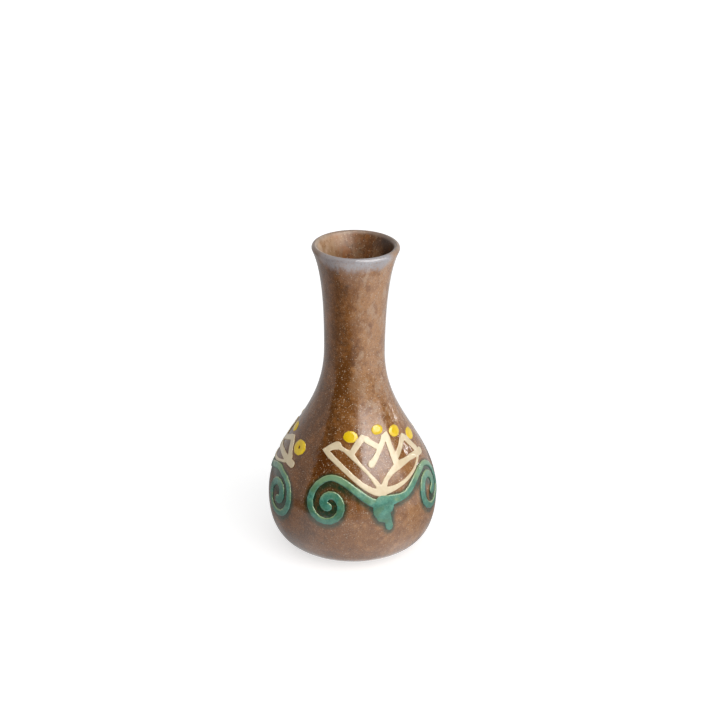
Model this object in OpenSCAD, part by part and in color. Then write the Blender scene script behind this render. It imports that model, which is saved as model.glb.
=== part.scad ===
// Bud vase: a thrown stoneware bottle with a round belly, a long neck and a rolled lip,
// glazed inside and out, with flowers, scrolls and drops of slip trailed on the belly.
// Millimetres. The throwing axis is Z, the foot stands on Z = 0 and the front faces -Y.
// Places on the belly are [degrees to the right of the front, height], seen from outside.

/* [Body] */
// Overall height, from the table to the crest of the lip
height = 130; // [120:1:160]
// Glazed diameter of the belly
belly_d = 69; // [60:1:84]
// Height of the widest line of the belly
belly_z = 22.5; // [19:0.5:27]
// Glazed diameter of the narrowest part of the neck
waist_d = 24.3; // [21:0.1:32]
// Height of the narrowest part of the neck
waist_z = 86; // [80:1:94]
// Glazed diameter of the lip
lip_d = 34.6; // [30:0.2:42]
// Thickness of the clay wall, up to the narrowest part of the neck
wall = 3.6; // [2.6:0.1:4.4]
// Thickness of the clay at the lip
lip_wall = 1.8; // [1.4:0.1:2.6]

/* [Curves] */
// Slope at which the base leaves the foot, in degrees
base_slope = 12.5; // [6:0.5:20]
// How far the base runs straight out from the foot
base_reach = 7; // [4:0.5:9]
// Fullness of the belly below its widest line
belly_low = 17; // [12:0.5:20]
// Fullness of the belly above its widest line
belly_high = 23.5; // [16:0.5:30]
// How far the neck stays slim below its narrowest part
neck_low = 30; // [22:0.5:36]
// How far the neck stays slim above its narrowest part
neck_high = 29; // [18:0.5:32]
// Outward lean of the neck under the lip, in degrees
flare_lean = 23.5; // [10:0.5:32]
// Length of the straight run under the lip
flare_reach = 5; // [3:0.5:9]

/* [Foot] */
// Diameter of the foot ring
foot_d = 38.8; // [33:0.2:44]
// Height of the bare foot ring
foot_h = 1; // [0.6:0.1:1.6]
// Width of the ring that touches the table
foot_w = 5; // [3.5:0.5:8]
// Depth of the recess inside the ring
foot_recess = 0.8; // [0.4:0.1:1.5]
// Bevel on the outer edge of the ring
foot_bevel = 0.3; // [0.2:0.05:0.5]

/* [Glaze] */
// Thickness of the glaze
glaze_t = 0.35; // [0.2:0.05:0.5]
// Height at which the outer glaze stops short of the foot
glaze_line = 1.9; // [1.4:0.1:3]

/* [Slip] */
// Width of the flower's trailed lines
flower_w = 2.3; // [1.8:0.1:2.6]
// Height of the flower's trailed lines
flower_h = 0.45; // [0.3:0.05:0.8]
// Width of the scroll's trailed lines
scroll_w = 3.2; // [2.4:0.1:3.6]
// Height of the scroll's trailed lines
scroll_h = 0.5; // [0.3:0.05:0.9]
// Outer radius of each curl of the scroll
curl_r = 10; // [8:0.25:10.5]
// Turning of a curl, in degrees
curl_turn = 510; // [400:10:560]
// Diameter of a round drop
drop_d = 5.6; // [4.4:0.1:6.4]
// Height of a round drop
drop_h = 0.6; // [0.4:0.05:1]
// Clearance under the trailed lines
seat = 0.05; // [0.03:0.01:0.1]

/* [Layout] */
// Turn of the front motif from the front of the vase, in degrees
front_turn = 24; // [10:1:40]
// Turn from the front motif to the left motif
left_turn = -142; // [-146:1:-134]
// Turn from the front motif to the back motif
back_turn = 124; // [116:1:127]
// Height of the motifs above the widest line of the belly
motif_rise = 0; // [-2:0.5:3]

/* [Hidden] */
$fn = 96;

// Names of the three motifs. Each was laid by eye, so it has its own turn, stretch in height, drop size,
// spread of its left and right halves, share by which each drop is smaller than the next to its right,
// middle of its right curl and share of that curl's radius.
motifs = [["front", front_turn, 1, 1, 1, 1, 1, [44.5, 8.4], 0.93],
          ["left", front_turn + left_turn, 0.88, 1.2, 0.64, 1.22, 0.75, [45.5, 6.4], 1],
          ["back", front_turn + back_turn, 0.85, 0.95, 0.66, 0.66, 0.97, [44.5, 8.4], 0.93]];
drops_each = 4;
pieces = concat(["flower", "scroll"], [for (i = [1 : drops_each]) str("drop_", i)]);

// Colours for viewing
clay_colour = [0.62, 0.40, 0.28];
glaze_colour = [0.47, 0.31, 0.18];
flower_colour = [0.93, 0.86, 0.70];
scroll_colour = [0.29, 0.53, 0.45];
drop_colour = [0.93, 0.77, 0.10];

// Profile. The lip is a round roll, so its centre and radius set the top of the curve.
foot_r = foot_d / 2;
lip_roll = lip_wall / 2;
lip_r = lip_d / 2 - glaze_t - lip_roll;
lip_z = height - glaze_t - lip_roll;
flare_dir = [sin(flare_lean), cos(flare_lean)];
flare_top = [lip_r, lip_z] + lip_roll * [cos(flare_lean), -sin(flare_lean)];
belly_r = belly_d / 2 - glaze_t;
waist_r = waist_d / 2 - glaze_t;

base_ctrl = [[foot_r, foot_h],
             [foot_r, foot_h] + base_reach * [cos(base_slope), sin(base_slope)],
             [belly_r, belly_z - belly_low],
             [belly_r, belly_z]];
shoulder_ctrl = [[belly_r, belly_z],
                 [belly_r, belly_z + belly_high],
                 [waist_r, waist_z - neck_low],
                 [waist_r, waist_z]];
flare_ctrl = [[waist_r, waist_z],
              [waist_r, waist_z + neck_high],
              flare_top - flare_reach * flare_dir,
              flare_top];

// A point of a cubic curve, and its direction
function curve_at(c, t) = pow(1 - t, 3) * c[0] + 3 * pow(1 - t, 2) * t * c[1]
    + 3 * (1 - t) * t * t * c[2] + pow(t, 3) * c[3];
function heading(c, t) = pow(1 - t, 2) * (c[1] - c[0]) + 2 * (1 - t) * t * (c[2] - c[1])
    + t * t * (c[3] - c[2]);

// Stations along a curve: each is [point, unit normal into the clay]
function stations(c, n, first) = [for (i = [first : n])
    let (h = heading(c, i / n))
    [curve_at(c, i / n), [-h.y, h.x] / norm(h)]];

// The clay's outer face from foot to lip, and the same face moved into the clay by depth
base_steps = 14;
shoulder_steps = 24;
flare_steps = 12;
outer_face = concat(stations(base_ctrl, base_steps, 0), stations(shoulder_ctrl, shoulder_steps, 1),
                    stations(flare_ctrl, flare_steps, 1));
function face(depth, from_z = 0) = [for (s = outer_face) if (s[0].y >= from_z) s[0] + depth * s[1]];

// The clay's inner face, moved further in by depth; the wall thins from the neck up to the lip
function wall_at(z) = lookup(z, [[waist_z, wall], [lip_z, lip_wall]]);
function inner_face(depth) = [for (s = outer_face) s[0] + (wall_at(s[0].y) + depth) * s[1]];
function backwards(list) = [for (i = [len(list) - 1 : -1 : 0]) list[i]];

// Part of the rolled lip, from one angle to another
function lip_arc(r, from, to, n = 6) = [for (i = [1 : n - 1])
    let (a = from + (to - from) * i / n)
    [lip_r + r * cos(a), lip_z + r * sin(a)]];
crest = [lip_r, height - glaze_t];
floor_z = inner_face(0)[0].y;

// Glazed outline, used to find the radius and the lean of the surface at any height
glazed = face(-glaze_t, glaze_line);
radius_table = [for (p = glazed) [p.y, p.x]];
function radius_at(z) = lookup(z, radius_table);
lean_span = 1.2;
function lean_at(z) = atan((radius_at(z - lean_span / 2) - radius_at(z + lean_span / 2)) / lean_span);
turn_per_mm = 180 / PI / (belly_d / 2);

// The point of the glaze at [turn, height], and the direction straight out of it there
function glaze_point(turn, z) = [radius_at(z) * sin(turn), -radius_at(z) * cos(turn), z];
function glaze_out(turn, z) = let (a = lean_at(z)) [cos(a) * sin(turn), -cos(a) * cos(turn), sin(a)];

// Turn and height on the vase of a point of motif m
function motif_turn(m, turn) = m[1] + turn * (turn < 0 ? m[4] : m[5]);
function motif_z(m, up) = belly_z + motif_rise + m[2] * up;

// Smooth line through its points, each [turn, height, share of the width]
function smooth_at(a, b, c, d, t) = b + 0.5 * t * (c - a
    + t * (2 * a - 5 * b + 4 * c - d + t * (3 * (b - c) + d - a)));
function gap_between(p, q) = norm([(q[0] - p[0]) / turn_per_mm, q[1] - p[1]]);
function smooth(pts, step) = let (last = len(pts) - 1) concat(
    [for (i = [0 : last - 1])
        let (n = max(1, round(gap_between(pts[i], pts[i + 1]) / step)))
        for (k = [0 : n - 1])
            smooth_at(pts[max(i - 1, 0)], pts[i], pts[i + 1], pts[min(i + 2, last)], k / n)],
    [pts[last]]);

// Cross section of a line of slip, across by out, for a width and a height of 1
bead = [[-0.5, 0], [-0.47, 0.35], [-0.36, 0.7], [-0.14, 0.97],
        [0.14, 0.97], [0.36, 0.7], [0.47, 0.35], [0.5, 0]];

// The section of a line at one station: place p, the way it runs, its width and its height
function section(p, out, along, w, h) =
    let (side = cross(out, along) / norm(cross(out, along)))
    [for (b = bead) p + side * (b.x * w) + out * (seat + b.y * h)];

// A trailed line with round ends; pts are placed from the middle of the motif m.
// Wider parts of a line stand higher, up to the share full_share.
section_gap = 2.4;
full_share = 1.4;
round_end = [[0.5, 0.3], [0.42, 0.6], [0.25, 0.87]];
module trail(pts, w, h, m) {
    line = smooth(pts, section_gap);
    last = len(line) - 1;
    place = [for (p = line) glaze_point(motif_turn(m, p[0]), motif_z(m, p[1]))];
    out = [for (p = line) glaze_out(motif_turn(m, p[0]), motif_z(m, p[1]))];
    along = [for (i = [0 : last])
        let (d = place[min(i + 1, last)] - place[max(i - 1, 0)]) d / norm(d)];
    width = [for (p = line) w * p[2]];
    rise = [for (p = line) h * (0.7 + 0.3 * min(p[2], full_share))];
    sections = concat(
        [for (e = round_end) section(place[0] - along[0] * (e[0] * width[0]), out[0], along[0],
                                     width[0] * e[1], rise[0] * (0.3 + 0.7 * e[1]))],
        [for (i = [0 : last]) section(place[i], out[i], along[i], width[i], rise[i])],
        [for (e = backwards(round_end))
            section(place[last] + along[last] * (e[0] * width[last]), out[last], along[last],
                    width[last] * e[1], rise[last] * (0.3 + 0.7 * e[1]))]);
    for (i = [0 : len(sections) - 2])
        link(concat(sections[i], sections[i + 1]));
}

// The solid between two neighbouring sections
module link(pts) {
    hull() polyhedron(points = pts, faces = [[for (i = [0 : len(pts) - 1]) i]]);
}

// Flower lines: [turn from the middle of the motif, height above the belly line, share of width]
flower_lines = [
    // outer petals, left and right, thick where they meet at the calyx
    [[-40, 30.7, 1.45], [-45.5, 29.9, 1.15], [-50.5, 28.4, 1.45], [-46, 27.1, 1.05], [-38, 25, 0.95],
     [-27, 21.4, 0.9], [-17, 17.5, 0.95], [-8, 14.7, 1.2], [-2, 14.1, 1.7]],
    [[43.5, 21.4, 0.5], [39.5, 20.3, 0.5], [35.5, 19.3, 0.5], [29.5, 17.9, 0.55], [18.5, 16, 0.7],
     [8.5, 14.8, 0.95], [0, 14.4, 1.4]],
    // inner petals
    [[-38, 30.3, 0.9], [-32, 29.3, 0.7], [-26, 28, 1.05], [-20, 25.4, 0.7], [-13.5, 22.4, 0.65],
     [-8.7, 19.7, 0.75], [-5, 17, 1], [-4, 15.4, 1.2]],
    [[50.5, 22, 1.4], [43, 22.3, 1.25], [34, 22.8, 1.1], [25, 22.5, 1.15], [16, 22, 1.5], [7.5, 20.3, 1.05],
     [2.5, 18.4, 0.95], [-0.5, 16, 1.2]],
    // the zigzag crown, with three peaks
    [[-25.5, 28.3, 1], [-21.5, 30.4, 1.15], [-14, 33.6, 1.35], [-6.5, 31.8, 1.1], [1, 29.9, 1.1]],
    [[-7.6, 24.5, 1.4], [-2.5, 26.7, 1.05], [4, 29.8, 1.05], [13.5, 33.6, 1.3], [14, 29.6, 1.15],
     [14.6, 26.3, 1.3], [15.4, 22.8, 1.5]],
    [[18.5, 25.4, 1.1], [27, 28, 1.05], [35.5, 30.2, 1.35], [41, 27, 1.25], [45.5, 23.8, 1.35]]];

// Arms from the calyx to the curls, and the calyx with its tail
left_arm = [[-4, 9.5, 1.3], [-11, 11, 1.1], [-19, 14.2, 1], [-27, 17.2, 0.9], [-34, 19, 0.9]];
right_arm = [[3, 10.6, 1.5], [11, 10.7, 1.1], [18, 11.5, 1], [25, 13.8, 0.95], [32, 16, 0.95],
             [40, 17.4, 0.95]];
calyx = [[-2.4, 8.6, 2.9], [-3, 6.2, 2.6], [-2, 4.3, 1.9], [0.7, 2.4, 1.05], [1.4, 0, 1.05]];

// Curls: a line wound in from the top by curl_turn. Each is [turn and height of its middle,
// hand (-1 winds left, 1 right), radius at its end, how late it closes in, share of the radius]
left_curl = [[-40.5, 9.5], -1, 1, 1, 1];
function right_curl(m) = [m[7], 1, 2.2, 1.6, m[8]];
curl_parts = 24;
curl_shares = [0.8, 1.2];
function curl(c, m) = [for (i = [0 : curl_parts])
    let (t = i / curl_parts,
         a = 90 - c[1] * curl_turn * t,
         r = c[4] * curl_r + (c[2] - c[4] * curl_r) * pow(t, c[3]),
         spread = c[0].x < 0 ? m[4] : m[5])
    [c[0].x + m[2] / spread * r * cos(a) * turn_per_mm, c[0].y + r * sin(a),
     curl_shares[0] + (curl_shares[1] - curl_shares[0]) * t]];

// Places of the round drops in the notches of the crown, with the share of the drop size
drop_places = [[-27, 34, 0.95], [4.6, 35.8, 0.83], [27, 33.5, 0.96], [50, 29.3, 1]];

module clay_body() {
    color(clay_colour) rotate_extrude()
        polygon(concat(
            [[0, foot_recess], [foot_r - foot_w - foot_recess, foot_recess], [foot_r - foot_w, 0],
             [foot_r - foot_bevel, 0], [foot_r, foot_bevel]],
            face(0),
            lip_arc(lip_roll, -flare_lean, 90), [crest], lip_arc(lip_roll, 90, 180 - flare_lean),
            backwards(inner_face(0)),
            [[0, floor_z]]));
}

module outer_glaze() {
    color(glaze_colour) rotate_extrude()
        polygon(concat(
            glazed,
            lip_arc(lip_roll + glaze_t, -flare_lean, 90), [crest + [0, glaze_t], crest],
            lip_arc(lip_roll, 90, -flare_lean),
            backwards(face(0, glaze_line))));
}

module liner_glaze() {
    color(glaze_colour) rotate_extrude()
        polygon(concat(
            [[0, floor_z]],
            inner_face(0),
            lip_arc(lip_roll, 180 - flare_lean, 90), [crest, crest + [0, glaze_t]],
            lip_arc(lip_roll + glaze_t, 90, 180 - flare_lean),
            backwards(inner_face(glaze_t)),
            [[0, floor_z + glaze_t]]));
}

module flower(m) {
    color(flower_colour)
        for (line = flower_lines)
            trail(line, flower_w, flower_h, m);
}

module scroll(m) {
    color(scroll_colour) {
        trail(calyx, scroll_w, scroll_h, m);
        trail(concat(left_arm, curl(left_curl, m)), scroll_w, scroll_h, m);
        trail(concat(right_arm, curl(right_curl(m), m)), scroll_w, scroll_h, m);
    }
}

// A drop is a ball sunk until its cap has the right width, seated on the glaze
drop_fn = 300;
module drop(m, i) {
    place = drop_places[i];
    size = m[3] * place[2] * pow(m[6], drops_each - 1 - i);
    ball_r = size * (drop_d * drop_d / 4 + drop_h * drop_h) / (2 * drop_h);
    turn = motif_turn(m, place[0]);
    z = motif_z(m, place[1]);
    color(drop_colour) difference() {
        translate(glaze_point(turn, z) + glaze_out(turn, z) * (size * drop_h - ball_r))
            sphere(r = ball_r, $fn = drop_fn);
        rotate_extrude($fn = 2 * drop_fn)
            polygon(concat([[0, glazed[0].y]], glazed, [[0, glazed[len(glazed) - 1].y]]));
    }
}

clay_body();
outer_glaze();
liner_glaze();
for (m = motifs) {
    flower(m);
    scroll(m);
    for (i = [0 : drops_each - 1])
        drop(m, i);
}
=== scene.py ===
# Bud vase: the thrown pot with its glazes and its trailed slip, on a pale studio floor.
import math

import bpy
import numpy as np
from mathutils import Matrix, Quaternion, Vector
from mathutils.bvhtree import BVHTree


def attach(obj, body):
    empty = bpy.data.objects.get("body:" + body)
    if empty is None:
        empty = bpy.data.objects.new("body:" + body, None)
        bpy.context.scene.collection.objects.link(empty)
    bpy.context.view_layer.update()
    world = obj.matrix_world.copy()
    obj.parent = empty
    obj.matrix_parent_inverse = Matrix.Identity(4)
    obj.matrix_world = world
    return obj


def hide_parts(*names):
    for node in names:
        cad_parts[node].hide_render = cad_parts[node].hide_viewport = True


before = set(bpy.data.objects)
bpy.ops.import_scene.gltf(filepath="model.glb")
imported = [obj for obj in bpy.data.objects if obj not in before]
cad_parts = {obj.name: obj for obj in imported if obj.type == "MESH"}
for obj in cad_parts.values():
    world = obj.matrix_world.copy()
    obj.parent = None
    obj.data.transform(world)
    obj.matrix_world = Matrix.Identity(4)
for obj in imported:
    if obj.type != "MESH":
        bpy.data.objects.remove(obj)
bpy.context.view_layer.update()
scene = bpy.context.scene
MM = 0.001
TINY = 1e-6
MOTIFS = ["front", "left", "back"]


# Handling of objects, as by hand


def only(obj):
    """Leaves obj alone selected and active, in object mode."""
    active = bpy.context.view_layer.objects.active
    if active is not None and active.mode != "OBJECT":
        bpy.ops.object.mode_set(mode="OBJECT")
    bpy.ops.object.select_all(action="DESELECT")
    bpy.context.view_layer.objects.active = obj
    obj.select_set(True)


def places(obj):
    """The places of a mesh's vertices, one row each."""
    co = np.zeros(len(obj.data.vertices) * 3)
    obj.data.vertices.foreach_get("co", co)
    return co.reshape(-1, 3)


def normals(obj):
    """The directions of a mesh's vertices, one row each."""
    out = np.zeros(len(obj.data.vertices) * 3, np.float32)
    obj.data.vertex_normals.foreach_get("vector", out)
    return out.reshape(-1, 3).astype(float)


def pick(obj, mask):
    """Opens obj in edit mode with the marked vertices selected."""
    only(obj)
    mesh = obj.data
    mesh.polygons.foreach_set("select", np.zeros(len(mesh.polygons), bool))
    mesh.edges.foreach_set("select", np.zeros(len(mesh.edges), bool))
    mesh.vertices.foreach_set("select", np.asarray(mask, bool))
    bpy.ops.object.mode_set(mode="EDIT")
    bpy.ops.mesh.select_mode(type="VERT")


def done():
    """Leaves edit mode."""
    bpy.ops.object.mode_set(mode="OBJECT")


def modify(obj, kind, **settings):
    """Adds a modifier and applies it."""
    only(obj)
    bpy.ops.object.modifier_add(type=kind)
    modifier = obj.modifiers[-1]
    for key, value in settings.items():
        setattr(modifier, key, value)
    bpy.ops.object.modifier_apply(modifier=modifier.name)


def copy_of_node(node, name):
    """A merged copy of a solid's mesh, as the start of a piece."""
    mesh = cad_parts[node].data.copy()
    mesh.materials.clear()
    obj = bpy.data.objects.new(name, mesh)
    scene.collection.objects.link(obj)
    pick(obj, np.ones(len(mesh.vertices), bool))
    bpy.ops.mesh.remove_doubles(threshold=TINY)
    done()
    return obj


def shape_of(obj):
    """A search tree of a mesh, to find the nearest point of it."""
    mesh = obj.data
    return BVHTree.FromPolygons([v.co for v in mesh.vertices], [p.vertices[:] for p in mesh.polygons])


def write_layer(obj, name, values):
    """Keeps one number for each vertex, for the material to read."""
    layer = obj.data.attributes.new(name, "FLOAT", "POINT")
    layer.data.foreach_set("value", np.asarray(values, np.float32))


def soften(obj, values, times):
    """Spreads the numbers of a layer over neighbouring vertices."""
    mesh = obj.data
    ends = np.zeros(len(mesh.edges) * 2, int)
    mesh.edges.foreach_get("vertices", ends)
    ends = ends.reshape(-1, 2)
    count = np.bincount(ends.ravel(), minlength=len(mesh.vertices))
    for _ in range(times):
        total = np.bincount(ends[:, 0], values[ends[:, 1]], len(values))
        total += np.bincount(ends[:, 1], values[ends[:, 0]], len(values))
        values = 0.4 * values + 0.6 * total / np.maximum(count, 1)
    return values


def finish_piece(obj, node, material):
    """Gives a finished piece its material and its place in the model."""
    only(obj)
    bpy.ops.object.shade_smooth()
    obj.data.materials.clear()
    obj.data.materials.append(material)
    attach(obj, "root")
    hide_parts(node)


# Shader helpers


def add(tree, kind, **values):
    """A node with its settings and its unlinked inputs."""
    node = tree.nodes.new(kind)
    for key, value in values.items():
        if key.startswith("in_"):
            name = key[3:].replace("_", " ")
            node.inputs[int(name) if name.isdigit() else name].default_value = value
        else:
            setattr(node, key, value)
    return node


def join(tree, source, target):
    """Links an output to an input."""
    tree.links.new(source, target)


def calc(tree, operation, a, b=None, clamp=False):
    """A Math node; a and b are sockets or numbers."""
    node = add(tree, "ShaderNodeMath", operation=operation, use_clamp=clamp)
    for i, value in enumerate([a, b]):
        if value is None:
            continue
        if isinstance(value, (int, float)):
            node.inputs[i].default_value = value
        else:
            join(tree, value, node.inputs[i])
    return node.outputs[0]


def product(tree, *values):
    """Several values multiplied."""
    total = values[0]
    for value in values[1:]:
        total = calc(tree, "MULTIPLY", total, value)
    return total


def swing(tree, value, amount):
    """A noise value turned to go both ways from zero."""
    return calc(tree, "MULTIPLY", calc(tree, "SUBTRACT", value, 0.5), amount)


def span(tree, value, low, high, to_low=0.0, to_high=1.0):
    """A smooth step from low to high."""
    node = add(tree, "ShaderNodeMapRange", interpolation_type="SMOOTHSTEP")
    join(tree, value, node.inputs["Value"])
    node.inputs["From Min"].default_value = low
    node.inputs["From Max"].default_value = high
    node.inputs["To Min"].default_value = to_low
    node.inputs["To Max"].default_value = to_high
    return node.outputs["Result"]


def blend(tree, factor, a, b, mode="MIX"):
    """A Mix Color node; a and b are sockets or colours, factor a socket or a number."""
    node = add(tree, "ShaderNodeMix", data_type="RGBA", blend_type=mode)
    for socket, value in ((node.inputs[0], factor), (node.inputs[6], a), (node.inputs[7], b)):
        if isinstance(value, (int, float)):
            socket.default_value = value
        elif isinstance(value, tuple):
            socket.default_value = (*value, 1)
        else:
            join(tree, value, socket)
    return node.outputs[2]


def noise(tree, vector, scale, detail=2.0, rough=0.5):
    """The value of a Noise Texture."""
    node = add(tree, "ShaderNodeTexNoise", in_Scale=scale, in_Detail=detail, in_Roughness=rough)
    join(tree, vector, node.inputs["Vector"])
    return node.outputs["Fac"]


def stretched(tree, vector, scale, shift=(0, 0, 0)):
    """Coordinates scaled by axis."""
    node = add(tree, "ShaderNodeMapping", in_Scale=scale, in_Location=shift)
    join(tree, vector, node.inputs["Vector"])
    return node.outputs["Vector"]


def axes_of(tree, vector):
    """The X, Y and Z of coordinates."""
    node = add(tree, "ShaderNodeSeparateXYZ")
    join(tree, vector, node.inputs["Vector"])
    return node.outputs


def length_of(tree, vector):
    """The length of a vector."""
    node = add(tree, "ShaderNodeVectorMath", operation="LENGTH")
    join(tree, vector, node.inputs[0])
    return node.outputs["Value"]


def new_group(name, inputs, outputs):
    """An empty node group; each socket is (name, kind, value)."""
    tree = bpy.data.node_groups.new(name, "ShaderNodeTree")
    for label, kind, value in inputs:
        socket = tree.interface.new_socket(label, in_out="INPUT", socket_type=kind)
        if value is not None:
            socket.default_value = value
    for label, kind in outputs:
        tree.interface.new_socket(label, in_out="OUTPUT", socket_type=kind)
    return tree, tree.nodes.new("NodeGroupInput"), tree.nodes.new("NodeGroupOutput")


def place_group(tree, group, vector, **values):
    """A node group in a material, with its own values."""
    node = add(tree, "ShaderNodeGroup", node_tree=group)
    join(tree, vector, node.inputs["Vector"])
    for key, value in values.items():
        node.inputs[key].default_value = value
    return node.outputs


def specks_group():
    """Round specks of uneven size, one in each cell."""
    tree, src, out = new_group(
        "Specks",
        [("Vector", "NodeSocketVector", None),
         ("Cells", "NodeSocketFloat", 800.0),
         ("Size", "NodeSocketFloat", 0.4),
         ("Share", "NodeSocketFloat", 0.5)],
        [("Mask", "NodeSocketFloat")])
    cells = add(tree, "ShaderNodeTexVoronoi", feature="F1")
    join(tree, src.outputs["Vector"], cells.inputs["Vector"])
    join(tree, src.outputs["Cells"], cells.inputs["Scale"])
    parts = add(tree, "ShaderNodeSeparateColor")
    join(tree, cells.outputs["Color"], parts.inputs["Color"])
    shown = calc(tree, "LESS_THAN", parts.outputs["Red"], src.outputs["Share"])
    smallest = 0.25
    spread = calc(tree, "MULTIPLY_ADD", calc(tree, "POWER", parts.outputs["Green"], 2.0), 1 - smallest)
    spread.node.inputs[2].default_value = smallest
    radius = calc(tree, "MULTIPLY", spread, src.outputs["Size"])
    inside = calc(tree, "DIVIDE", cells.outputs["Distance"], radius)
    soft = span(tree, inside, 0.5, 1.0, 1.0, 0.0)
    join(tree, calc(tree, "MULTIPLY", soft, shown), out.inputs["Mask"])
    return tree


def skin_group():
    """The height of a fired glaze: slow waves and a fine orange peel."""
    tree, src, out = new_group(
        "Glaze skin",
        [("Vector", "NodeSocketVector", None),
         ("Waves", "NodeSocketFloat", 1.0),
         ("Peel", "NodeSocketFloat", 1.0)],
        [("Height", "NodeSocketFloat")])
    waves = noise(tree, stretched(tree, src.outputs["Vector"], (170, 170, 90)), 1.0, 2.0)
    peel = noise(tree, src.outputs["Vector"], 1100.0, 2.0)
    total = calc(tree, "ADD", calc(tree, "MULTIPLY", waves, src.outputs["Waves"]),
                 calc(tree, "MULTIPLY", peel, src.outputs["Peel"]))
    join(tree, total, out.inputs["Height"])
    return tree


SPECKS = specks_group()
SKIN = skin_group()


def empty_material(name):
    """A material with no nodes yet."""
    material = bpy.data.materials.new(name)
    material.use_nodes = True
    material.node_tree.nodes.clear()
    return material, material.node_tree


def show(tree, shader):
    """Makes a shader the surface of its material."""
    join(tree, shader, tree.nodes.new("ShaderNodeOutputMaterial").inputs["Surface"])


def new_material(name):
    """A material with only its shader and its output."""
    material, tree = empty_material(name)
    shader = tree.nodes.new("ShaderNodeBsdfPrincipled")
    show(tree, shader.outputs["BSDF"])
    coords = tree.nodes.new("ShaderNodeTexCoord").outputs["Object"]
    return material, tree, shader, coords


def layer_value(tree, name):
    """The number that a piece keeps for each vertex."""
    return add(tree, "ShaderNodeAttribute", attribute_name=name).outputs["Fac"]


def set_skin(tree, shader, height, distance):
    """Turns a height into the shader's normal."""
    bump = add(tree, "ShaderNodeBump", in_Strength=1.0, in_Distance=distance)
    join(tree, height, bump.inputs["Height"])
    join(tree, bump.outputs["Normal"], shader.inputs["Normal"])


def fired_skin(tree, shader, coords, waves, peel, distance):
    """The skin of a fired glaze or slip, distance high."""
    height = place_group(tree, SKIN, coords, Waves=waves, Peel=peel)["Height"]
    set_skin(tree, shader, height, distance)


def set_look(tree, shader, colour, clouds, smooth, rough):
    """The colour, and a roughness that follows slow clouds from smooth to rough."""
    join(tree, colour, shader.inputs["Base Color"])
    join(tree, span(tree, clouds, 0.3, 0.7, smooth, rough), shader.inputs["Roughness"])


# Materials

DARK_GRAIN = (0.085, 0.031, 0.008)
PALE_SPECK = (0.60, 0.46, 0.32)


def lit_and_milky_side(tree, coords):
    """How far round a place lies towards the side that faces the lights, from -1 to 1; the glaze is painted
    paler there as painted light, and is milkier there too.
    """
    flat = add(tree, "ShaderNodeVectorMath", operation="MULTIPLY", in_1=(1, 1, 0))
    join(tree, coords, flat.inputs[0])
    around = add(tree, "ShaderNodeVectorMath", operation="NORMALIZE")
    join(tree, flat.outputs[0], around.inputs[0])
    side = add(tree, "ShaderNodeVectorMath", operation="DOT_PRODUCT", in_1=(0.85, -0.53, 0))
    join(tree, around.outputs[0], side.inputs[0])
    return side.outputs["Value"]


def patch(tree, coords, edge, place, lean, reach):
    """Distance from a place in shares of its reach along each axis, with an uneven edge; lean turns it
    to the right."""
    node = add(tree, "ShaderNodeMapping", vector_type="TEXTURE",
               in_Location=place, in_Rotation=(0, lean, 0), in_Scale=reach)
    join(tree, coords, node.inputs["Vector"])
    return calc(tree, "ADD", length_of(tree, node.outputs["Vector"]), edge)


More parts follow.
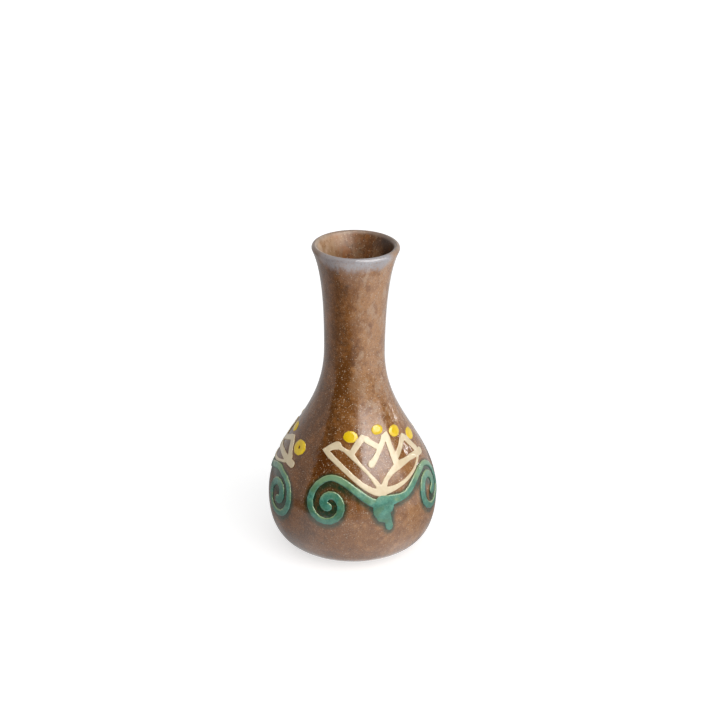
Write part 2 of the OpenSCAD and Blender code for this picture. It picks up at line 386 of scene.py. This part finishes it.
def mottled_brown(tree, coords):
    """Colour of the brown glaze: dark and milky fields, which paint shade on the side away from the lights
    and light on the side towards them, orange patches, fine grain and pale specks.
    Returns the colour and the slow clouds in it."""
    clouds = noise(tree, stretched(tree, coords, (150, 150, 105), (3, 1, 2)), 1.0, 4.0, 0.6)
    patches = noise(tree, coords, 420.0, 3.0)
    grain = noise(tree, coords, 1500.0, 3.0, 0.65)
    dust = noise(tree, coords, 2400.0, 2.0, 0.6)
    side = lit_and_milky_side(tree, coords)
    z = axes_of(tree, coords)["Z"]
    # painted light with milkier glaze: paler on the side towards the lights and from the shoulder up on that
    # side, painted shade darker on the other side, and in patches
    above = product(tree, span(tree, z, 0.050, 0.066, -0.02, 0.10), span(tree, side, 0.1, 0.6))
    patchy = product(tree, span(tree, z, 0.040, 0.052, 1.1, 1.9), span(tree, z, 0.098, 0.082, 0.6, 1.0),
                     span(tree, side, -0.15, 0.2, 0.55, 1.0))
    milk_and_light = calc(tree, "ADD", span(tree, side, -0.1, 1.0, -0.30, 0.39), above)
    milk_and_light = calc(tree, "ADD", milk_and_light, swing(tree, clouds, 1.3))
    milk_and_light = calc(tree, "ADD", milk_and_light, swing(tree, patches, patchy))
    # dark stands for painted shade away from the lights, milky for milky glaze with painted light towards
    # them
    dark, medium, milky = (0.115, 0.040, 0.008), (0.225, 0.084, 0.019), (0.385, 0.178, 0.061)
    colour = blend(tree, span(tree, milk_and_light, -0.45, 0.05), dark, medium)
    colour = blend(tree, span(tree, milk_and_light, 0.05, 0.65), colour, milky)
    orange = noise(tree, stretched(tree, coords, (260, 260, 170), (7, 4, 1)), 1.0, 3.0, 0.55)
    orange = product(tree, span(tree, orange, 0.54, 0.68, 0.0, 0.7), span(tree, side, -0.15, 0.2, 0.35, 1.0))
    colour = blend(tree, orange, colour, (0.205, 0.072, 0.014))
    # a milky haze in blotches on the side towards the lights, from the shoulder up, which also paints light
    # there
    haze = noise(tree, stretched(tree, coords, (330, 330, 210), (2, 9, 4)), 1.0, 4.0, 0.62)
    haze = product(tree, span(tree, haze, 0.49, 0.64, 0.0, 0.8), span(tree, side, 0.35, 0.75),
                   span(tree, z, 0.050, 0.062))
    colour = blend(tree, haze, colour, (0.42, 0.255, 0.148))
    # a milky spot at the foot of the neck
    edge = swing(tree, patches, 1.8)
    spot = patch(tree, coords, edge, (0.0010, -0.0128, 0.0755), 0.1, (0.0034, 0.006, 0.0060))
    colour = blend(tree, span(tree, spot, 1.05, 0.5, 0.0, 0.55), colour, (0.36, 0.195, 0.095))
    # light and dark grain, and finer dust
    colour = blend(tree, span(tree, grain, 0.5, 0.75, 0.0, 0.45), colour, (0.31, 0.140, 0.048))
    colour = blend(tree, span(tree, grain, 0.5, 0.28, 0.0, 0.5), colour, DARK_GRAIN)
    colour = blend(tree, span(tree, dust, 0.52, 0.74, 0.0, 0.5), colour, (0.37, 0.205, 0.100))
    colour = blend(tree, span(tree, dust, 0.48, 0.28, 0.0, 0.4), colour, DARK_GRAIN)
    # one thick run of glaze beside the spot, and a dark pool beside the front flower, both darker glaze and
    # also painted shade where the glaze mirrors nothing bright
    run_and_shade = patch(tree, coords, edge, (-0.0035, -0.0121, 0.0800), 0.27, (0.0030, 0.006, 0.0135))
    colour = blend(tree, span(tree, run_and_shade, 1.05, 0.6, 0.0, 0.75), colour, (0.125, 0.042, 0.007))
    pool_and_shade = patch(tree, coords, edge, (-0.0112, -0.0244, 0.0460), 0.2, (0.0042, 0.006, 0.0080))
    colour = blend(tree, span(tree, pool_and_shade, 1.2, 0.5, 0.0, 0.85), colour, (0.100, 0.028, 0.003))
    # pale specks, strongest on the shoulder and faint towards the foot, and fainter as painted shade on the
    # side away from the lights
    fine = place_group(tree, SPECKS, coords, Cells=1900.0, Size=0.52, Share=0.7)["Mask"]
    coarse = place_group(tree, SPECKS, coords, Cells=1200.0, Size=0.41, Share=0.7)["Mask"]
    specks = calc(tree, "MAXIMUM", calc(tree, "MULTIPLY", fine, 0.7), coarse)
    strength = product(tree, span(tree, z, 0.098, 0.078, 0.42, 0.85), span(tree, z, 0.010, 0.045, 0.4, 1.0),
                       span(tree, side, -0.15, 0.15, 0.4, 1.0))
    colour = blend(tree, calc(tree, "MULTIPLY", specks, strength), colour, PALE_SPECK)
    return colour, clouds


def broken_lip(tree, coords, axes, colour, low):
    """The glaze breaks pale over the crest of the lip, and at the front to a grey bloom down to about low."""
    z = axes["Z"]
    colour = blend(tree, span(tree, z, 0.1285, 0.1297, 0.0, 0.6), colour, (0.36, 0.27, 0.21))
    ragged = noise(tree, stretched(tree, coords, (420, 420, 90)), 1.0, 3.0, 0.6)
    edge = calc(tree, "ADD", z, swing(tree, ragged, 0.007))
    mottle = noise(tree, coords, 1300.0, 3.0, 0.65)
    bloom = product(tree, span(tree, edge, low, low + 0.0045), span(tree, axes["Y"], -0.0080, -0.0120),
                    span(tree, axes["X"], -0.017, 0.004, 0.55, 1.0), span(tree, mottle, 0.32, 0.55, 0.6, 1.0))
    pits = place_group(tree, SPECKS, coords, Cells=1000.0, Size=0.42, Share=0.35)["Mask"]
    grey = blend(tree, calc(tree, "MULTIPLY", pits, 0.7), (0.39, 0.375, 0.395), (0.16, 0.13, 0.12))
    return blend(tree, bloom, colour, grey)


def brown_glaze():
    """The glaze outside."""
    material, tree, shader, coords = new_material("speckled brown glaze")
    colour, clouds = mottled_brown(tree, coords)
    axes = axes_of(tree, coords)
    colour = broken_lip(tree, coords, axes, colour, 0.1231)
    # dark green that bled out of the scrolls
    cloudy = span(tree, noise(tree, coords, 900.0, 3.0), 0.2, 0.6, 0.7, 1.0)
    bleed = calc(tree, "MULTIPLY", layer_value(tree, "bleed"), cloudy, clamp=True)
    colour = blend(tree, bleed, colour, (0.015, 0.040, 0.018))
    # painted shade: a thin, darker edge above the bare foot, where the pot meets the floor
    colour = blend(tree, span(tree, axes["Z"], 0.0032, 0.0021, 0.0, 0.7), colour, (0.07, 0.032, 0.014))
    set_look(tree, shader, colour, clouds, 0.03, 0.08)
    fired_skin(tree, shader, coords, 1.6, 0.15, 0.20 * MM)
    return material


def liner_glaze():
    """The glaze inside: painted light on the wall that faces the lights, painted shade on the wall turned
    from them, with runs between.
    """
    material, tree, shader, coords = new_material("brown liner glaze")
    colour, clouds = mottled_brown(tree, coords)
    axes = axes_of(tree, coords)
    across = calc(tree, "ADD", axes["X"], swing(tree, clouds, 0.016))
    # painted light: paler on the left inside wall, which faces the lights
    colour = blend(tree, span(tree, across, -0.003, -0.011, 0.0, 0.75), colour, (0.49, 0.295, 0.155))
    runs = noise(tree, stretched(tree, coords, (380, 380, 50), (5, 2, 0)), 1.0, 3.0, 0.6)
    colour = blend(tree, span(tree, runs, 0.52, 0.64, 0.0, 0.8), colour, (0.29, 0.110, 0.026))
    colour = blend(tree, span(tree, runs, 0.54, 0.36, 0.0, 0.4), colour, (0.42, 0.26, 0.14))
    blotches = noise(tree, coords, 620.0, 3.0, 0.6)
    colour = blend(tree, span(tree, blotches, 0.50, 0.64, 0.0, 0.6), colour, (0.25, 0.098, 0.028))
    # painted light: palest at the far left of the inside
    colour = blend(tree, span(tree, across, -0.010, -0.014, 0.0, 0.9), colour, (0.66, 0.49, 0.34))
    # painted shade: dark on the right inside wall, which is turned from the lights
    colour = blend(tree, span(tree, across, 0.003, 0.013, 0.0, 0.95), colour, (0.030, 0.011, 0.003))
    specks = place_group(tree, SPECKS, coords, Cells=1500.0, Size=0.5, Share=0.7)["Mask"]
    specks = calc(tree, "MULTIPLY", specks, span(tree, across, 0.013, 0.003, 0.15, 0.6))
    colour = blend(tree, specks, colour, PALE_SPECK)
    colour = broken_lip(tree, coords, axes, colour, 0.1275)
    set_look(tree, shader, colour, clouds, 0.28, 0.42)
    shader.inputs["Specular IOR Level"].default_value = 0.35
    fired_skin(tree, shader, coords, 1.0, 0.12, 0.22 * MM)
    return material


def bare_clay():
    """The clay where it is left bare at the foot."""
    material, tree, shader, coords = new_material("bare fired clay")
    grit = noise(tree, coords, 2600.0, 3.0, 0.7)
    clouds = noise(tree, coords, 160.0, 3.0)
    colour = blend(tree, span(tree, clouds, 0.35, 0.65), (0.33, 0.185, 0.105), (0.42, 0.25, 0.155))
    colour = blend(tree, span(tree, grit, 0.56, 0.7, 0.0, 0.6), colour, (0.22, 0.115, 0.065))
    specks = place_group(tree, SPECKS, coords, Cells=700.0, Size=0.3, Share=0.3)["Mask"]
    colour = blend(tree, calc(tree, "MULTIPLY", specks, 0.6), colour, (0.60, 0.46, 0.33))
    set_look(tree, shader, colour, grit, 0.75, 0.92)
    set_skin(tree, shader, grit, 0.12 * MM)
    return material


def cream_slip():
    """The slip of the flowers."""
    material, tree, shader, coords = new_material("cream slip")
    clouds = noise(tree, coords, 420.0, 3.0)
    grain = noise(tree, coords, 2200.0, 2.0)
    colour = blend(tree, span(tree, clouds, 0.3, 0.7), (0.75, 0.605, 0.385), (0.80, 0.665, 0.45))
    colour = blend(tree, span(tree, grain, 0.55, 0.75, 0.0, 0.25), colour, (0.70, 0.53, 0.30))
    colour = blend(tree, span(tree, layer_value(tree, "thick"), 0.45, 0.0), colour, (0.50, 0.33, 0.16))
    pits = place_group(tree, SPECKS, coords, Cells=600.0, Size=0.22, Share=0.18)["Mask"]
    colour = blend(tree, calc(tree, "MULTIPLY", pits, 0.4), colour, (0.42, 0.28, 0.15))
    set_look(tree, shader, colour, clouds, 0.14, 0.24)
    fired_skin(tree, shader, coords, 0.6, 0.16, 0.18 * MM)
    return material


def green_slip():
    """The slip of the scrolls."""
    material, tree, shader, coords = new_material("green slip")
    clouds = noise(tree, coords, 300.0, 3.0)
    grain = noise(tree, coords, 1700.0, 3.0)
    colour = blend(tree, span(tree, clouds, 0.32, 0.68), (0.048, 0.200, 0.140), (0.088, 0.305, 0.235))
    colour = blend(tree, span(tree, grain, 0.52, 0.72, 0.0, 0.5), colour, (0.15, 0.38, 0.26))
    colour = blend(tree, span(tree, grain, 0.48, 0.30, 0.0, 0.5), colour, (0.028, 0.115, 0.080))
    olive = noise(tree, coords, 190.0, 2.0)
    colour = blend(tree, span(tree, olive, 0.50, 0.66, 0.0, 0.7), colour, (0.085, 0.19, 0.075))
    # laid thinner along the arms, and so yellower
    high = calc(tree, "ADD", axes_of(tree, coords)["Z"], swing(tree, clouds, 0.014))
    colour = blend(tree, span(tree, high, 0.032, 0.042, 0.0, 0.7), colour, (0.24, 0.39, 0.205))
    colour = blend(tree, span(tree, high, 0.034, 0.026, 0.0, 0.5), colour, (0.045, 0.155, 0.10))
    # painted light: lighter and yellower on the upward-facing side of a line, and painted shade darker on the
    # downward-facing side
    upper = calc(tree, "ADD", layer_value(tree, "upper"), swing(tree, clouds, 0.5))
    colour = blend(tree, span(tree, upper, 0.0, 0.38, 0.0, 0.8), colour, (0.30, 0.40, 0.19))
    colour = blend(tree, span(tree, upper, -0.08, -0.4, 0.0, 0.7), colour, (0.022, 0.10, 0.075))
    colour = blend(tree, span(tree, layer_value(tree, "thick"), 0.45, 0.0), colour, (0.018, 0.045, 0.022))
    set_look(tree, shader, colour, clouds, 0.10, 0.20)
    fired_skin(tree, shader, coords, 0.6, 0.16, 0.18 * MM)
    return material


def yellow_slip():
    """The slip of the drops."""
    material, tree, shader, coords = new_material("yellow slip")
    clouds = noise(tree, coords, 500.0, 3.0)
    grain = noise(tree, coords, 2200.0, 2.0)
    colour = blend(tree, span(tree, clouds, 0.3, 0.7), (0.85, 0.56, 0.006), (0.92, 0.64, 0.016))
    colour = blend(tree, span(tree, grain, 0.55, 0.78, 0.0, 0.3), colour, (0.70, 0.42, 0.01))
    colour = blend(tree, span(tree, layer_value(tree, "thick"), 0.30, 0.05), colour, (0.30, 0.17, 0.03))
    set_look(tree, shader, colour, clouds, 0.10, 0.18)
    fired_skin(tree, shader, coords, 0.5, 0.12, 0.15 * MM)
    return material


# The two coats of glaze, turned from the solids' own outlines

LINER_FLOOR_TOP = 5.3 * MM
LINER_FLOOR_MIDDLE = 4.7 * MM


def on_liner_floor(co, seam):
    """Marks the points on the flat floor of the liner, which is drawn in to the axis later."""
    floor = co[:, 2] < LINER_FLOOR_TOP
    rim = co[seam & floor]
    under = rim[rim[:, 2] < LINER_FLOOR_MIDDLE]
    over = rim[rim[:, 2] >= LINER_FLOOR_MIDDLE]
    over = over[over[:, 2] < over[:, 2].min() + 0.1 * MM]
    radius = min(under[:, 0].max(), over[:, 0].max())
    return floor & (co[:, 0] < radius - 0.01 * MM)


def outline_of(node, name):
    """The outline of a turned solid, as a smooth line on one side of the axis."""
    line = copy_of_node(node, name)
    co = places(line)
    seam = (np.abs(co[:, 1]) < TINY) & (co[:, 0] > TINY)
    if node == "liner_glaze":
        seam &= ~on_liner_floor(co, seam)
    pick(line, ~seam)
    bpy.ops.mesh.delete(type="VERT")
    bpy.ops.mesh.select_all(action="SELECT")
    bpy.ops.mesh.dissolve_limited(angle_limit=math.radians(0.25))
    done()
    only(line)
    bpy.ops.object.convert(target="CURVE")
    line.data.resolution_u = 3
    for spline in line.data.splines:
        spline.type = "BEZIER"
        points = spline.bezier_points
        for i, point in enumerate(points):
            before = point.co - points[i - 1].co
            after = points[(i + 1) % len(points)].co - point.co
            end = not spline.use_cyclic_u and i in (0, len(points) - 1)
            corner = end or before.angle(after) > math.radians(45)
            handle = "VECTOR" if corner else "AUTO"
            point.handle_left_type = handle
            point.handle_right_type = handle
    bpy.ops.object.convert(target="MESH")
    return line


def turn(line, steps):
    """Turns an outline round the axis into a closed coat."""
    modify(line, "SCREW", axis="Z", angle=math.tau, steps=steps, render_steps=steps)
    pick(line, np.ones(len(line.data.vertices), bool))
    bpy.ops.mesh.remove_doubles(threshold=2 * TINY)
    bpy.ops.mesh.select_all(action="SELECT")
    bpy.ops.mesh.normals_make_consistent(inside=False)
    done()


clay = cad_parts["clay_body"]
clay_shape = shape_of(clay)


def on_clay(obj):
    """Marks the vertices that lie on the clay."""
    return np.array([clay_shape.find_nearest(v.co)[3] < 0.05 * MM for v in obj.data.vertices])


def thin_clay_side(line):
    """Takes points out of an outline where it lies on the clay, which nobody sees."""
    pick(line, on_clay(line))
    bpy.ops.mesh.dissolve_limited(angle_limit=math.radians(4))
    done()


outside = outline_of("outer_glaze", "glaze_outside")
thin_clay_side(outside)
# finer steps on the belly, which carries the slip
heights = places(outside)[:, 2]
pick(outside, ~on_clay(outside) & (heights > 18 * MM) & (heights < 64 * MM))
bpy.ops.mesh.subdivide(number_cuts=1)
done()
turn(outside, 360)
outside_shape = shape_of(outside)

inside = outline_of("liner_glaze", "glaze_inside")
thin_clay_side(inside)
# both open ends at the floor are drawn in to the axis
co = places(inside)
corners = np.array([e.vertices[:] for e in inside.data.edges]).ravel()
for i in np.flatnonzero(np.bincount(corners, minlength=len(co)) == 1):
    pick(inside, np.arange(len(inside.data.vertices)) == i)
    bpy.ops.mesh.extrude_region_move(TRANSFORM_OT_translate={"value": (-co[i, 0], 0, 0)})
    done()
turn(inside, 240)


# Trailed slip: each line is melted smooth and seated in the glaze

SEAT_DEPTH = 0.30 * MM
FLOWER_CROWN = 0.30 * MM
SCROLL_CROWN = 0.40 * MM
DROP_CROWN = 0.40 * MM


def height_above(obj):
    """How far each vertex stands out of the glaze, and the glaze's direction there."""
    rise, out = [], []
    for v in obj.data.vertices:
        spot, way, _, _ = outside_shape.find_nearest(v.co)
        rise.append((v.co - spot).dot(way))
        out.append(way[:])
    return np.array(rise), np.array(out)


def press_to(obj, mask, rise):
    """Presses the marked vertices of a piece to one height above the glaze."""
    group = obj.vertex_groups.new(name="pressed")
    group.add([int(i) for i in np.flatnonzero(mask)], 1.0, "REPLACE")
    modify(obj, "SHRINKWRAP", target=outside, wrap_method="NEAREST_SURFACEPOINT", wrap_mode="ABOVE_SURFACE",
           offset=rise, vertex_group="pressed")
    obj.vertex_groups.clear()


def seat_in_glaze(obj, below):
    """Pushes the underside of a piece into the glaze, so that no gap shows."""
    rise, _ = height_above(obj)
    press_to(obj, rise < below, -SEAT_DEPTH)


def settle(obj, crown):
    """Lets the top of a line or drop sink to a flat crown."""
    rise, _ = height_above(obj)
    press_to(obj, rise > crown, crown)


def uneven(obj, grain, amount):
    """A hand's unevenness, as slow swelling and thinning."""
    texture = bpy.data.textures.new("hand", "CLOUDS")
    texture.noise_scale = grain
    modify(obj, "DISPLACE", texture=texture, texture_coords="LOCAL", strength=amount, mid_level=0.5)
    bpy.data.textures.remove(texture)


def keep_layers(obj):
    """Keeps how thick the slip lies and which side of a line is the upper one."""
    rise, out = height_above(obj)
    full = 0.45 * MM
    write_layer(obj, "thick", soften(obj, np.clip(rise / full, -0.2, 1.4), 2))
    up = np.array([0.0, 0.0, 1.0]) - out * out[:, 2:3]
    up /= np.linalg.norm(up, axis=1, keepdims=True)
    upper = np.einsum("ij,ij->i", normals(obj), up)
    upper[rise < -0.05 * MM] = 0
    write_layer(obj, "upper", soften(obj, upper, 6))


def trailed_line(node, name, material, crown):
    """A flower or a scroll."""
    line = copy_of_node(node, name)
    seat_in_glaze(line, 0.06 * MM)
    modify(line, "REMESH", mode="VOXEL", voxel_size=0.15 * MM)
    settle(line, crown)
    modify(line, "SMOOTH", factor=0.5, iterations=6)
    modify(line, "DISPLACE", strength=0.06 * MM, mid_level=0.0)
    uneven(line, 2.6 * MM, 0.16 * MM)
    keep_layers(line)
    finish_piece(line, node, material)
    return line


def press_pinhole(drop, size):
    """A burst bubble: a small pit in the middle of the drop."""
    co = places(drop)
    rise, out = height_above(drop)
    crown = rise > 0.5 * rise.max()
    top = co[crown].mean(axis=0)
    way = out[crown].mean(axis=0)
    pick(drop, crown & (np.linalg.norm(co - top, axis=1) < size))
    bpy.ops.mesh.subdivide(number_cuts=1)
    done()
    away = np.linalg.norm(places(drop) - top, axis=1)
    pick(drop, away < 0.75 * size)
    bpy.ops.transform.translate(value=tuple(-way * 0.75 * MM))
    done()


def round_drop(node, name, material, pinhole=None):
    """A drop; pinhole is the size of a burst bubble in it."""
    drop = copy_of_node(node, name)
    seat_in_glaze(drop, 0.03 * MM)
    modify(drop, "REMESH", mode="VOXEL", voxel_size=0.11 * MM)
    settle(drop, DROP_CROWN)
    modify(drop, "SMOOTH", factor=0.5, iterations=9)
    modify(drop, "DISPLACE", strength=0.05 * MM, mid_level=0.0)
    uneven(drop, 2.2 * MM, 0.14 * MM)
    if pinhole:
        press_pinhole(drop, pinhole)
    keep_layers(drop)
    finish_piece(drop, node, material)


green = green_slip()
cream = cream_slip()
yellow = yellow_slip()
scrolls = []
for motif in MOTIFS:
    trailed_line(f"{motif}_flower", f"{motif}_flower_lines", cream, FLOWER_CROWN)
    scroll = trailed_line(f"{motif}_scroll", f"{motif}_scroll_lines", green, SCROLL_CROWN)
    scrolls.append(scroll)
    for i in range(1, 5):
        pinhole = 1.0 * MM if (motif, i) == ("left", 4) else None
        round_drop(f"{motif}_drop_{i}", f"{motif}_yellow_drop_{i}", yellow, pinhole)


# The green bleeds a little way into the glaze round each scroll, and further where it ran down

scroll_shapes = [shape_of(scroll) for scroll in scrolls]


def nearness(obj, reach, lift):
    """How near each vertex lies to the scrolls, from 0 at the reach to 1; lift looks from higher up."""
    away = np.full(len(obj.data.vertices), reach)
    for shape in scroll_shapes:
        for i, v in enumerate(obj.data.vertices):
            if 10 * MM < v.co.z < 66 * MM:
                found = shape.find_nearest((v.co.x, v.co.y, v.co.z + lift), reach)
                if found[0] is not None:
                    away[i] = min(away[i], found[3])
    return 1 - away / reach


close = nearness(outside, 1.2 * MM, 0)
below = nearness(outside, 1.6 * MM, 1.0 * MM)
# darkest in the curls, with one turn of the line above and one beneath
between = nearness(outside, 2.3 * MM, 1.6 * MM)
between = between * nearness(outside, 3.5 * MM, -2.5 * MM)
bleed = np.maximum(np.maximum(0.9 * close, 0.95 * below), 1.7 * between)
write_layer(outside, "bleed", np.clip(bleed, 0, 1))
finish_piece(outside, "outer_glaze", brown_glaze())
finish_piece(inside, "liner_glaze", liner_glaze())
clay.data.materials[0] = bare_clay()


# Studio: a pale floor, soft lights and the camera

AIM = Vector((0, 0, 0.06))
GLOSS_LIMIT = 2.5


def direction(azimuth, elevation):
    """The way from the vase to a light; azimuth is to the right of the front."""
    a, e = math.radians(azimuth), math.radians(elevation)
    return Vector((math.sin(a) * math.cos(e), -math.cos(a) * math.cos(e), math.sin(e)))


def roll(obj, degrees):
    """Rolls an object about the way it looks."""
    obj.rotation_quaternion = obj.rotation_quaternion @ Quaternion((0, 0, 1), math.radians(degrees))


def lamp(name, azimuth, elevation, distance, size, radiance):
    """A soft white light that faces the vase."""
    way = direction(azimuth, elevation)
    data = bpy.data.lights.new(name, "AREA")
    data.shape = "RECTANGLE"
    data.size, data.size_y = size
    data.energy = radiance * math.pi * size[0] * size[1]
    obj = bpy.data.objects.new(name, data)
    scene.collection.objects.link(obj)
    obj.location = AIM + way * distance
    obj.rotation_mode = "QUATERNION"
    obj.rotation_quaternion = (-way).to_track_quat("-Z", "Y")
    obj.visible_camera = False
    return obj


def round_ramp(tree, angle, stops):
    """A grey that follows an angle; a stop is (degrees, brightness up to GLOSS_LIMIT)."""
    ramp = add(tree, "ShaderNodeValToRGB")
    ramp.color_ramp.interpolation = "EASE"
    while len(ramp.color_ramp.elements) < len(stops):
        ramp.color_ramp.elements.new(0.5)
    for element, (azimuth, value) in zip(ramp.color_ramp.elements, stops):
        grey = value / GLOSS_LIMIT
        element.position = azimuth / 360 + 0.5
        element.color = (grey, grey, grey, 1)
    join(tree, calc(tree, "ADD", calc(tree, "DIVIDE", angle, math.tau), 0.5), ramp.inputs["Fac"])
    return ramp.outputs["Color"]


def pale_floor():
    """The floor is white to the eye; the gloss sees it bright before the softbox and dark to the room."""
    bpy.ops.mesh.primitive_plane_add(size=14, location=(0, 0, 0))
    floor = bpy.context.active_object
    floor.name = "floor"
    material, tree = empty_material("pale floor")
    coords = tree.nodes.new("ShaderNodeTexCoord").outputs["Object"]
    away = length_of(tree, coords)
    rays = tree.nodes.new("ShaderNodeLightPath")
    # the light falls off across the floor, and the glow makes up for it
    plain = add(tree, "ShaderNodeBsdfDiffuse", in_Color=(0.75, 0.75, 0.75, 1))
    glow = add(tree, "ShaderNodeEmission", in_Color=(1, 1, 1, 1))
    seen = calc(tree, "MAXIMUM", rays.outputs["Is Camera Ray"], rays.outputs["Is Transmission Ray"])
    join(tree, calc(tree, "MULTIPLY", seen, span(tree, away, 0.1, 0.7, 0.63, 0.80)), glow.inputs["Strength"])
    both = tree.nodes.new("ShaderNodeAddShader")
    join(tree, plain.outputs[0], both.inputs[0])
    join(tree, glow.outputs[0], both.inputs[1])
    # what the gloss sees, by azimuth to the right of the front, near the vase and further off
    axes = axes_of(tree, coords)
    angle = calc(tree, "ARCTAN2", axes["X"], calc(tree, "MULTIPLY", axes["Y"], -1.0))
    near = round_ramp(tree, angle, [(-180, 0.15), (-110, 0.3), (-80, 0.6), (-30, 1.8), (40, 2.15), (80, 0.75),
                                    (115, 0.3), (180, 0.15)])
    far = round_ramp(tree, angle, [(-180, 0.5), (-110, 0.7), (-80, 0.45), (-66, 0.2), (-31, 0.3), (0, 0.9),
                                   (31, 1.7), (65, 2.2), (109, 1.3), (150, 0.8), (180, 0.6)])
    shine = blend(tree, span(tree, away, 0.105, 0.155), near, far)
    # painted shadow in what the gloss sees: darker close under the pot
    shine = blend(tree, 1.0, shine, span(tree, away, 0.027, 0.038, 0.55, 1.0), "MULTIPLY")
    mirrored = add(tree, "ShaderNodeEmission", in_Strength=GLOSS_LIMIT)
    join(tree, shine, mirrored.inputs["Color"])
    mix = tree.nodes.new("ShaderNodeMixShader")
    join(tree, rays.outputs["Is Glossy Ray"], mix.inputs[0])
    join(tree, both.outputs[0], mix.inputs[1])
    join(tree, mirrored.outputs[0], mix.inputs[2])
    show(tree, mix.outputs[0])
    floor.data.materials.append(material)


def gloss_card(name, corners, axis, first, last, start, end, edge=0.0):
    """A card that only the gloss shows. A corner is (azimuth, distance, height); its brightness goes from
    first to last between start and end up, across or slantwise, and fades out over its left edge."""
    bpy.ops.mesh.primitive_plane_add(size=1, location=(0, 0, 0))
    card = bpy.context.active_object
    card.name = name
    for v, (azimuth, distance, z) in zip(card.data.vertices, corners):
        a = math.radians(azimuth)
        v.co = (distance * math.sin(a), -distance * math.cos(a), z)
    material, tree = empty_material(name)
    sheet = tree.nodes.new("ShaderNodeTexCoord").outputs["UV"]
    axes = axes_of(tree, sheet)
    place = axes["Y"]
    if axis == "across":
        place = axes["X"]
    if axis == "slant":
        place = calc(tree, "ADD", axes["X"], calc(tree, "MULTIPLY", place, -0.6))
    bright = span(tree, place, start, end, first, last)
    if edge:
        ragged = noise(tree, stretched(tree, sheet, (14, 24, 1)), 1.0, 2.0)
        inward = calc(tree, "ADD", axes["X"], swing(tree, ragged, edge))
        bright = calc(tree, "MULTIPLY", bright, span(tree, inward, 0.0, edge, 0.05, 1.0))
    glow = add(tree, "ShaderNodeEmission", in_Color=(1, 1, 1, 1))
    join(tree, bright, glow.inputs["Strength"])
    show(tree, glow.outputs[0])
    card.data.materials.append(material)
    card.visible_camera = False
    card.visible_diffuse = False
    card.visible_shadow = False


def studio_world():
    """A white room to the eye and the gloss, and a soft grey light on everything else."""
    world = bpy.data.worlds.new("studio")
    scene.world = world
    world.use_nodes = True
    tree = world.node_tree
    tree.nodes.clear()
    rays = tree.nodes.new("ShaderNodeLightPath")
    seen = calc(tree, "MAXIMUM", rays.outputs["Is Camera Ray"], rays.outputs["Is Glossy Ray"])
    seen = calc(tree, "MAXIMUM", seen, rays.outputs["Is Transmission Ray"])
    back = add(tree, "ShaderNodeBackground", in_Color=(1, 1, 1, 1))
    join(tree, span(tree, seen, 0.0, 1.0, 0.42, 1.0), back.inputs["Strength"])
    join(tree, back.outputs[0], tree.nodes.new("ShaderNodeOutputWorld").inputs["Surface"])


def studio_camera():
    """The photograph's camera: 25 degrees above the horizon, and rolled a little."""
    data = bpy.data.cameras.new("camera")
    camera = bpy.data.objects.new("camera", data)
    scene.collection.objects.link(camera)
    way = direction(0, 24.95)
    middle = Vector((0, 0, 0.065))
    distance = 0.8
    camera.location = middle + way * distance
    camera.rotation_mode = "QUATERNION"
    camera.rotation_quaternion = (-way).to_track_quat("-Z", "Y")
    roll(camera, 0.76)
    data.sensor_width = 36
    data.lens = 101.31
    data.shift_x = -0.0018
    data.shift_y = 0.0611
    data.clip_start = 0.01
    data.clip_end = 50
    scene.camera = camera


pale_floor()
studio_world()
softbox = lamp("front right softbox", 37, 27, 0.85, (1.1, 0.9), 1.9)
softbox.visible_glossy = False
# two thin strips at the right, which glint on the shoulder and in the last petal
for name, azimuth, elevation, size in (("side strip", 115, 2, (0.005, 0.046)),
                                       ("second side strip", 103.5, 11.5, (0.004, 0.045))):
    strip = lamp(name, azimuth, elevation, 0.45, size, 45)
    roll(strip, -35)
# what the gloss shows of the room: corners by azimuth, distance and height
gloss_card("softbox front", [(4, 0.5, 0), (84, 0.5, 0), (4, 0.5, 1.2), (84, 0.5, 1.2)],
           "up", 1.0, 8.8, 0.05, 0.27, edge=0.32)
gloss_card("dark room", [(-62, 0.26, 0), (4, 0.22, 0), (-66, 0.26, 0.35), (4, 0.22, 0.35)],
           "slant", 0.02, 1.2, 0.6, 1.1)
gloss_card("overhead light", [(-20, 0.15, 0.7), (80, 0.15, 0.7), (5, 0.6, 0.7), (60, 0.6, 0.7)],
           "up", 9, 9, 0, 1)
gloss_card("grey wall", [(-175, 0.4, 0), (-61, 0.4, 0), (-175, 0.4, 0.9), (-65, 0.4, 0.9)],
           "up", 0.75, 0.75, 0, 1)
gloss_card("dark gap", [(66, 0.44, 0.09), (101, 0.44, 0.09), (66, 0.44, 0.21), (101, 0.44, 0.21)],
           "across", 4.5, 0.2, 0.0, 0.65)
studio_camera()
scene.view_settings.view_transform = "Standard"
